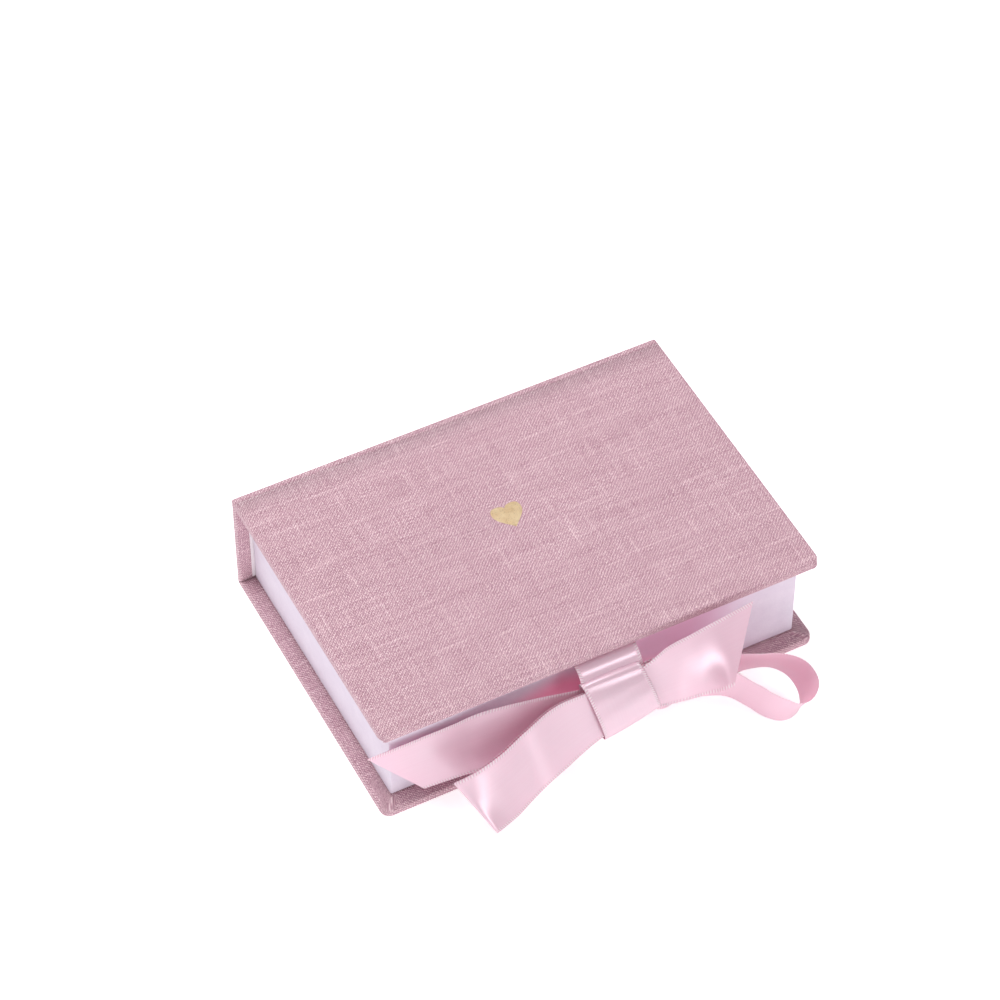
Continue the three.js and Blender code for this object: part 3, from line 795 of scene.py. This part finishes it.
def tray_skin():
    """Paper over the tray's outside, rim and inside, folded under its floor."""
    low, high, r = TRAY_LOW, TRAY_HIGH, TRAY_ROUND
    x = high[0]
    profile = [(PAPER_UNDER, low[2]), (r, low[2])]
    profile += [(r - r * math.sin(a), low[2] + r - r * math.cos(a)) for a in arc(4)]
    profile += [(0.0, low[2] + r), (0.0, low[2] + r + GUARD)]
    profile += [(0.0, high[2] - r - GUARD), (0.0, high[2] - r)]
    profile += [(r - r * math.cos(a), high[2] - r + r * math.sin(a)) for a in arc(4)]
    profile += [(r, high[2]), (WALL / 2, high[2]), (WALL - r, high[2])]
    profile += [(WALL - r + r * math.sin(a), high[2] - r + r * math.cos(a)) for a in arc(4)]
    profile += [(WALL, high[2] - r), (WALL, high[2] - r - GUARD), (WALL, FLOOR_Z + 0.05)]
    points = []
    for inset, z in profile:
        radius = max(0.35, 0.45 - inset * 0.02)
        ring = rounded_rectangle(x - inset, low[1] + inset, high[1] - inset, radius)
        points += [(px, py, z) for px, py in [*ring, ring[0]]]
    columns = len(points) // len(profile)
    shown = add_mesh("tray_paper", points, grid_faces(len(profile), columns), sharp=60)
    with editing(shown.data) as built:
        bmesh.ops.remove_doubles(built, verts=built.verts, dist=1e-6)
    face_normals_from(shown, (0, 0, HEIGHT / 2000))
    return thicken(shown, PAPER)


def lines(low, high, marks, coarse, fine):
    """Grid lines between low and high, close together near the marks."""
    at, made = low, [low]
    while at < high - 1e-6:
        nearest = min(abs(at - m) for m in marks)
        step = fine + (coarse - fine) * min(1.0, max(0.0, nearest - TUCK_REACH) / 6)
        at = min(high, at + step)
        made.append(at)
    return made


SLITS = [  # centre x, centre y, half length, half width
    (0.0, 2.0, 15.0, 0.0),
    (-24.0, 2.0, 3.0, 0.0),
    (24.0, 2.0, 3.0, 0.0),
    (-17.0, PAD_HIGH[1] - 2.0, 0.0, 2.5),
    (17.0, PAD_HIGH[1] - 2.0, 0.0, 2.5),
]


def slit_depth(x, y):
    """How far the pad's skin is tucked down at a point."""
    depth = 0.0
    for cx, cy, half_x, half_y in SLITS:
        dx = max(abs(x - cx) - half_x, 0.0)
        dy = max(abs(y - cy) - half_y, 0.0)
        away = math.hypot(dx, dy)
        if away < TUCK_REACH:
            lip = 0.28 * (1 - away / TUCK_REACH) ** 2
            slot = SLIT_DEPTH * max(0.0, 1 - away / SLIT_REACH) ** 0.6
            depth = max(depth, lip + slot)
    return depth


def pad():
    """The velvet-covered pad: crowned, with soft edges and tucked slits."""
    x0, y0, z0 = PAD_LOW
    x1, y1, z1 = PAD_HIGH
    r = PAD_ROUND
    # Where the skin curves most: its edges, and the slits' ends and middles
    marks_x = [x0, x1, -17, 17, -24, 24, -15, 15, -27, 27, -21, 21]
    marks_y = [y0, y1, 2.0, y1 - 2, y1 - 4.5]
    xs = lines(x0, x1, marks_x, 2.5, 0.35)
    ys = lines(y0, y1, marks_y, 2.5, 0.3)
    points = []
    for y in ys:
        for x in xs:
            ex = min(1.0, min(x - x0, x1 - x) / r)
            ey = min(1.0, min(y - y0, y1 - y) / r)
            droop = r * (1 - math.sqrt(max(0.0, 1 - (1 - ex) ** 2 - (1 - ey) ** 2)))
            crown = math.cos(x / x1 * math.pi / 2.1) * math.cos((y - 0.65) / y1 * math.pi / 2.1)
            points.append((x, y, z1 + PAD_CROWN * crown - droop - slit_depth(x, y)))
    columns = len(xs)
    rows = len(ys)
    faces = grid_faces(rows, columns)
    rim = list(range(columns))
    rim += [row * columns + columns - 1 for row in range(1, rows)]
    rim += [(rows - 1) * columns + c for c in reversed(range(columns - 1))]
    rim += [row * columns for row in reversed(range(1, rows - 1))]
    previous = rim
    for z, pull in ((z1 - r - 3, 0.12), (z0 + 3, 0.1), (z0 + 0.6, 0.15), (z0, 0.6)):
        ring = []
        for i in rim:
            x, y, _ = points[i]
            ring.append(len(points))
            points.append((x - math.copysign(pull, x), y - math.copysign(pull, y), z))
        for a in range(len(rim)):
            b = (a + 1) % len(rim)
            faces.append((previous[b], previous[a], ring[a], ring[b]))
        previous = ring
    faces.append(tuple(previous))
    shown = add_mesh("velvet_pad", points, faces, sharp=180)
    face_normals_from(shown, (0, 0, (z0 + z1) / 2000))
    return shown


# ---------------------------------------------------------------- ribbons


def catmull(points):
    """A uniform Catmull-Rom curve through points."""
    points = np.asarray(points, float)
    padded = np.vstack([2 * points[0] - points[1], points, 2 * points[-1] - points[-2]])
    made = []
    for i in range(len(points) - 1):
        a, b, c, d = padded[i : i + 4]
        for t in np.arange(SAMPLES) / SAMPLES:
            made.append(
                0.5
                * (
                    2 * b
                    + (c - a) * t
                    + (2 * a - 5 * b + 4 * c - d) * t**2
                    + (3 * b - a - 3 * c + d) * t**3
                )
            )
    made.append(points[-1])
    return np.array(made)


def evenly(samples, step):
    """Resamples rows of numbers at equal steps along the first three columns."""
    steps = np.linalg.norm(np.diff(samples[:, :3], axis=0), axis=1)
    lengths = np.r_[0, np.cumsum(steps)]
    count = max(8, round(lengths[-1] / step))
    at = np.linspace(0, lengths[-1], count + 1)
    return at, np.column_stack([np.interp(at, lengths, column) for column in samples.T])


def soften(rows, passes):
    """Averages neighbouring rows, with the two ends kept."""
    for _ in range(passes):
        rows[1:-1] = (rows[:-2] + 2 * rows[1:-1] + rows[2:]) / 4
    return rows


def cross_section():
    """(across -1..1, side) round a ribbon's section, closer together at its edges."""
    columns = 26
    t = np.linspace(-1, 1, columns)
    across = np.sign(t) * (1 - (1 - np.abs(t)) ** 1.25)
    return np.r_[across, across[::-1]], np.r_[np.ones(columns), -np.ones(columns)]


def loft(name, middle, edge, normal, width, cut, camber, run, ends=True):
    """A closed ribbon from its middle line and its frames. Camber bows its section,
    and a ribbon without ends joins up with itself."""
    across, side = cross_section()
    count = len(across)
    tangent = np.cross(edge, normal)
    half_width = RIBBON_WIDTH / 2
    from_edge = (1 - np.abs(across)) * half_width
    bead = RIBBON_HALF * (1 + BEAD_RISE * np.exp(-((from_edge / BEAD_REACH) ** 2)))
    bead[np.abs(across) > 0.999] *= 0.35
    points, uv = [], []
    for i in range(len(middle)):
        bow = camber[i] * (1 - across**2)
        place = (
            middle[i]
            + edge[i] * (across * width[i] / 2)[:, None]
            + tangent[i] * (across * cut[i])[:, None]
            + normal[i] * (bow + side * bead)[:, None]
        )
        points.append(place)
        uv += [(run[i] + a * cut[i], a * half_width) for a in across]
    points = np.vstack(points)
    faces = []
    rows = len(middle)
    for i in range(rows - 1 if ends else rows):
        following = (i + 1) % rows * count
        for j in range(count):
            k = (j + 1) % count
            faces.append((i * count + j, i * count + k, following + k, following + j))
    if ends:
        half = count // 2
        last = (len(middle) - 1) * count
        for j in range(half - 1):
            faces.append((j + 1, j, count - 1 - j, count - 2 - j))
            faces.append((last + j, last + j + 1, last + count - 2 - j, last + count - 1 - j))
    shown = add_mesh(name, points, faces, uv, "ribbon", sharp=75)
    with editing(shown.data) as built:
        bmesh.ops.recalc_face_normals(built, faces=built.faces)
    return paint(shown, SATIN_LOOK)


def unit(rows):
    return rows / np.linalg.norm(rows, axis=1)[:, None]


def strand(name, stations):
    """A ribbon on edge. A station is x, y, z, lean, width and cut."""
    samples = catmull(stations)
    run, even = evenly(samples, STEP)
    even = soften(even, 6)
    middle, (lean, width, cut) = even[:, :3], even[:, 3:].T
    tangent = unit(np.gradient(middle, axis=0))
    angle = np.radians(lean)
    up = np.column_stack([np.zeros(len(angle)), -np.sin(angle), np.cos(angle)])
    edge = unit(up - tangent * np.sum(up * tangent, axis=1)[:, None])
    return loft(name, middle, edge, np.cross(tangent, edge), width, cut, 0 * width, run)


def folded_strand(name, front):
    """A loop pressed nearly flat: a front layer, a fold and a back layer behind it.

    A station is x, y, z, the direction across the ribbon, its width and the gap
    to the back layer."""
    front = np.asarray(front, float)
    middle, edge, gap = front[:, :3], unit(front[:, 3:6]), front[:, 7:]
    tangent = unit(np.gradient(middle, axis=0))
    normal = unit(np.cross(tangent, edge))
    back = front.copy()
    back[:, :3] += normal * gap - edge * BACK_LAYER_DROP
    tip = front[-1:].copy()
    half_way = (normal[-1] * gap[-1] - edge[-1] * BACK_LAYER_DROP) / 2
    tip[:, :3] += tangent[-1] * FOLD_REACH + half_way
    samples = catmull(np.vstack([front, tip, back[::-1]]))
    run, even = evenly(samples, STEP)
    even = soften(even, 4)
    middle, edge, width = even[:, :3], unit(even[:, 3:6]), even[:, 6]
    normal = unit(np.cross(np.gradient(middle, axis=0), edge))
    return loft(name, middle, edge, normal, width, 0 * width, 0 * width, run)


def flat_strand(name, path):
    """A ribbon whose width lies along X, through [y, z] points."""
    samples = catmull([(0.0, y, z) for y, z in path])
    run, even = evenly(samples, STEP)
    middle = soften(even, 3)
    tangent = unit(np.gradient(middle, axis=0))
    edge = np.tile([1.0, 0.0, 0.0], (len(middle), 1))
    width = np.full(len(middle), float(RIBBON_WIDTH))
    return loft(name, middle, edge, np.cross(tangent, edge), width, 0 * width, 0 * width, run)


LEFT_TAIL = [  # x, y, z, lean in degrees, width, cut
    (-1.2, -46.1, 17.6, -24, 12.6, 0),
    (-7.5, -46.1, 17.5, -24, 12.6, 0),
    (-19, -43.5, 15.7, -18, 16, 0),
    (-30, -41.3, 15.3, -18, 16, 0),
    (-37, -40.1, 14.3, -13, 16, 0),
    (-45.5, -39.5, 13.9, -10, 16, 1.5),
    (-53.6, -39.3, 13.8, -9, 16, 6.4),
]
LEFT_LOOP = [  # x, y, z, direction across, width, gap to the back layer
    (-1.2, -48.2, 18.7, -0.05, 0.4, 0.91, 12.4, 1.1),
    (-7, -48.3, 18.3, -0.17, 0.36, 0.92, 13.4, 1.05),
    (-12.9, -48.4, 16.8, -0.17, 0.38, 0.91, 15.4, 1.1),
    (-17, -49, 15.6, -0.16, 0.4, 0.9, 16, 1.2),
    (-20.4, -49.8, 14.8, -0.15, 0.4, 0.9, 16, 1.2),
    (-24.4, -50.2, 12.5, -0.18, 0.4, 0.9, 16, 1.2),
    (-28.9, -51.4, 11, -0.23, 0.4, 0.89, 16, 1.2),
    (-32.4, -52, 9.7, -0.29, 0.45, 0.84, 16, 1.1),
    (-35.4, -52.1, 8.5, -0.34, 0.5, 0.8, 16, 1),
    (-37.6, -52, 7.6, -0.365, 0.57, 0.735, 16, 0.9),
    (-39.4, -51.7, 6.8, -0.376, 0.647, 0.663, 16, 0.8),
]
RIGHT_TAIL = [
    (2.8, -48.1, 18.9, -24, 12, 0),
    (8.2, -47.8, 19.5, -24, 11.8, 0),
    (14.2, -47.8, 20.3, -18, 16, 0),
    (20.5, -49.1, 22.4, -27, 16, 1),
    (26, -50.2, 24.4, -39, 16, 4),
    (31.2, -50.4, 25.4, -43, 16, 6.2),
]
RIGHT_LOOP = [
    (2.8, -46, 17.9, -24, 12, 0),
    (10, -45.8, 18.4, -22, 12, 0),
    (15, -45.4, 16.2, -10, 15.2, 0),
    (20, -45.2, 14.8, 2, 16, 0),
    (28, -46.3, 14, 16, 16, 0),
    (34.8, -48.2, 14.2, 27, 16, 0),
    (40.4, -50.9, 14.3, 31, 16, 0),
    (44, -54.6, 13.2, 30, 16, 0),
    (44.8, -58.6, 11, 29, 16, 0),
    (42.9, -61.1, 9.1, 27, 16, 0),
    (39.9, -61.4, 8, 26, 16, 0),
    (37.2, -59.9, 7.9, 24, 16, 0),
    (34.8, -57.1, 8.1, 24, 16, 0),
    (32.5, -53.4, 8.8, 25, 16, 0),
    (29, -49.8, 10.3, 22, 16, 0),
    (20, -46.8, 13.8, 6, 16, 0),
    (15, -46.5, 15.9, -8, 15.2, 0),
    (10, -46.7, 18.8, -22, 12, 0),
    (2.8, -47, 18.4, -24, 12, 0),
]
KNOT_LEFT = np.array([-6.8, -47.1, 18.1])
KNOT_RIGHT = np.array([8.4, -46.5, 19.4])
KNOT_LEFT_HALF = 7.9
KNOT_RIGHT_HALF = 6.5
KNOT_LEAN = math.radians(24)
KNOT_HALF_THICKNESS = 2.6
KNOT_SLANT = 1.5
KNOT_SQUARENESS = 0.86
KNOT_CAMBER = 0.3
KNOT_PLEAT = 0.06
KNOT_PLEATS = 2.6
KNOT_STEPS = 96


def knot_ring(centre, half_length):
    """The band's edge on one side: a flattened ring round the strands."""
    down = np.array([0, -math.sin(KNOT_LEAN), -math.cos(KNOT_LEAN)])
    out = np.array([0, -math.cos(KNOT_LEAN), math.sin(KNOT_LEAN)])
    ring = []
    for i in range(KNOT_STEPS + 1):
        angle = 2 * math.pi * i / KNOT_STEPS
        round_one = (math.cos(angle), math.sin(angle))
        drop, bulge = (math.copysign(abs(v) ** KNOT_SQUARENESS, v) for v in round_one)
        pleat = KNOT_PLEAT * math.sin(KNOT_PLEATS * math.pi * drop + centre[0] * 0.1)
        pleat *= max(0.0, math.sin(angle))
        point = centre + down * drop * half_length + out * (bulge * KNOT_HALF_THICKNESS + pleat)
        point[0] += drop * KNOT_SLANT
        ring.append(point)
    return np.array(ring)


def knot():
    """The knot's band, wider on the left, with soft pleats along its front."""
    left = knot_ring(KNOT_LEFT, KNOT_LEFT_HALF)
    right = knot_ring(KNOT_RIGHT, KNOT_RIGHT_HALF)
    samples = np.column_stack([(left + right) / 2, right - left])
    run, even = evenly(samples, STEP / 2)
    run, even = run[:-1], even[:-1]
    middle, across = even[:, :3], even[:, 3:]
    tangent = unit(np.roll(middle, -1, axis=0) - np.roll(middle, 1, axis=0))
    edge = unit(across)
    normal = unit(np.cross(tangent, edge))
    width = np.linalg.norm(across, axis=1)
    camber = np.full(len(width), -KNOT_CAMBER)
    return loft("bow_knot_band", middle, edge, normal, width, 0 * width, camber, run, ends=False)


# ---------------------------------------------------------------- build the object

for look, names in (
    (BOARD_LOOK, "cover_board spine_board base_board tray_floor insert_card"),
    (BOARD_LOOK, "tray_wall_front tray_wall_back tray_wall_left tray_wall_right"),
    (LINING_LOOK, "cover_lining spine_lining"),
    (WRAP_LOOK, "tray_liner"),
    (TAPE_LOOK, "tray_corner_stay_front_left tray_corner_stay_front_right"),
    (TAPE_LOOK, "tray_corner_stay_back_left tray_corner_stay_back_right"),
    (GLUE_LOOK, "tray_glue_sheet"),
    (FOIL_LOOK, "foil_heart"),
    (FOAM_LOOK, "insert_foam"),
):
    for node in names.split():
        paint(frame["nodes"][node], look)


def clothed(shown, body, node=None):
    """A piece of the bookcloth that rides on one body."""
    paint(shown, CLOTH_LOOK)
    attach(shown, body)
    if node:
        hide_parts(node)


cover = panel_skin("cover_cloth_skin", HEIGHT, -1, heart_outline(0.12))
clothed(cover, "lid", "cover_cloth")
clothed(panel_skin("base_cloth_skin", 0.0, 1), "base", "base_cloth")
clothed(spine_skin(), "spine", "spine_cloth")
for side, word in ((-1, "left"), (1, "right")):
    clothed(corner_fold("cover_corner_fold_" + word, HEIGHT, -1, side), "lid")
    clothed(corner_fold("base_corner_fold_" + word, 0.0, 1, side), "base")

for word, corner_z, towards, panel_body in (
    ("upper", HEIGHT, -1, "lid"),
    ("lower", 0.0, 1, "base"),
):
    outer_cloth = paint(hinge_cloth("hinge_cloth_" + word, corner_z, towards), CLOTH_LOOK)
    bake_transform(outer_cloth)
    lining = paint(groove_lining("groove_cloth_" + word, corner_z, towards), CLOTH_LOOK)
    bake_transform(lining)

tray = paint(tray_skin(), WRAP_LOOK)
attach(tray, "base")
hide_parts("tray_wrap")

cushion = paint(pad(), VELVET_LOOK)
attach(cushion, "base")
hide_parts("insert_velvet")

LID_RIBBON_Z = HEIGHT - PANEL - RIBBON_LIFT
BASE_RIBBON_Z = PANEL + RIBBON_LIFT
UPPER_RIBBON = [  # y and height above the glued end
    (-19, 0),
    (-34.5, 0),
    (-38.5, 0),
    (-40.5, -0.2),
    (-42.2, -0.9),
    (-43.4, -2.1),
    (-44.2, -3.8),
]
LOWER_RIBBON = [
    (-19, 0),
    (-32.5, 0),
    (-35.5, 0),
    (-37.1, 0),
    (-38.7, 0.4),
    (-41.1, 2.6),
    (-43.9, 6),
    (-46.5, 8.4),
]
upper_path = [(y, LID_RIBBON_Z + rise) for y, rise in UPPER_RIBBON]
lower_path = [(y, BASE_RIBBON_Z + rise) for y, rise in LOWER_RIBBON]
IN_KNOT, ON_LINING, ON_BASE = ["bow_knot_band"], ["cover_lining"], ["base_cloth_skin"]
RIBBONS = (  # piece, body, CAD node, length it was cut to, how it is held, what it rests on
    (strand("left_tail", LEFT_TAIL), "base", "bow_left_tail", 53.5, "stretched", IN_KNOT),
    (folded_strand("left_loop", LEFT_LOOP), "base", "bow_left_loop", 82.0, "folded", IN_KNOT),
    (strand("right_tail", RIGHT_TAIL), "base", "bow_right_tail", 30.0, "stretched", IN_KNOT),
    (strand("right_loop", RIGHT_LOOP), "base", "bow_right_loop", 103.0, "folded", IN_KNOT),
    (knot(), "base", "bow_knot", 36.0, "folded", ["left_loop", "right_loop"]),
    (flat_strand("upper_ribbon", upper_path), "lid", "lid_ribbon", 25.5, "laid", ON_LINING),
    (flat_strand("lower_ribbon", lower_path), "base", "base_ribbon", 29.5, "laid", ON_BASE),
)
for shown, body, node, length, held, rests_on in RIBBONS:
    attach(shown, body)
    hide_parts(node)


# ---------------------------------------------------------------- floor, light and camera


def floor():
    """A wide pale floor a hair under the box, lit a little from within."""
    mesh = bpy.data.meshes.new("floor")
    mesh.from_pydata([(-4, -4, 0), (4, -4, 0), (4, 4, 0), (-4, 4, 0)], [], [(0, 1, 2, 3)])
    shown = bpy.data.objects.new("floor", mesh)
    shown.location.z = -0.00005
    bpy.context.scene.collection.objects.link(shown)
    n = Nodes("pale_floor")
    grain = n.noise(n.millimetres(), 0.02, 3.0)
    n.finish(n.ramp(grain, (0.3, (246, 245, 246)), (0.7, (250, 249, 250))), 0.9)
    n.shader.inputs["Emission Color"].default_value = (1, 1, 1, 1)
    n.shader.inputs["Emission Strength"].default_value = 0.58
    paint(shown, n.material)


def area_light(name, at, size, power):
    light = bpy.data.lights.new(name, "AREA")
    light.shape = "RECTANGLE"
    light.size, light.size_y = size
    light.energy = power
    lamp = bpy.data.objects.new(name, light)
    lamp.location = at
    aim = Vector((0, 0, 0.02)) - Vector(at)
    lamp.rotation_euler = aim.to_track_quat("-Z", "Y").to_euler()
    bpy.context.scene.collection.objects.link(lamp)


def camera():
    lens = bpy.data.cameras.new("camera")
    lens.lens = 137.7
    lens.sensor_width = 36
    lens.clip_start = 0.01
    shown = bpy.data.objects.new("camera", lens)
    shown.location = (-0.27569, -0.52047, 0.71623)
    aim = Vector((0.000836, 0.013997, 0.026513)) - shown.location
    shown.rotation_euler = aim.to_track_quat("-Z", "Y").to_euler()
    bpy.context.scene.collection.objects.link(shown)
    bpy.context.scene.camera = shown


def world():
    sky = bpy.data.worlds.new("studio")
    bpy.context.scene.world = sky
    sky.use_nodes = True
    back = sky.node_tree.nodes["Background"]
    back.inputs["Color"].default_value = (0.96, 0.955, 1.0, 1)
    back.inputs["Strength"].default_value = 0.3


floor()
world()
camera()
area_light("overhead_softbox", (-0.17, 0.37, 1.0), (0.6, 0.7), 9.4)
area_light("left_softbox", (-0.9, -0.1, 0.55), (0.6, 0.6), 0.6)
area_light("front_fill", (0.15, -1.0, 0.22), (0.8, 0.4), 0.4)
area_light("front_softbox", (0.35, -0.7, 0.75), (0.35, 0.35), 1.9)
area_light("front_strip", (-0.29, -0.95, 0.2), (0.16, 0.5), 1.6)
bpy.context.scene.view_settings.view_transform = "Standard"
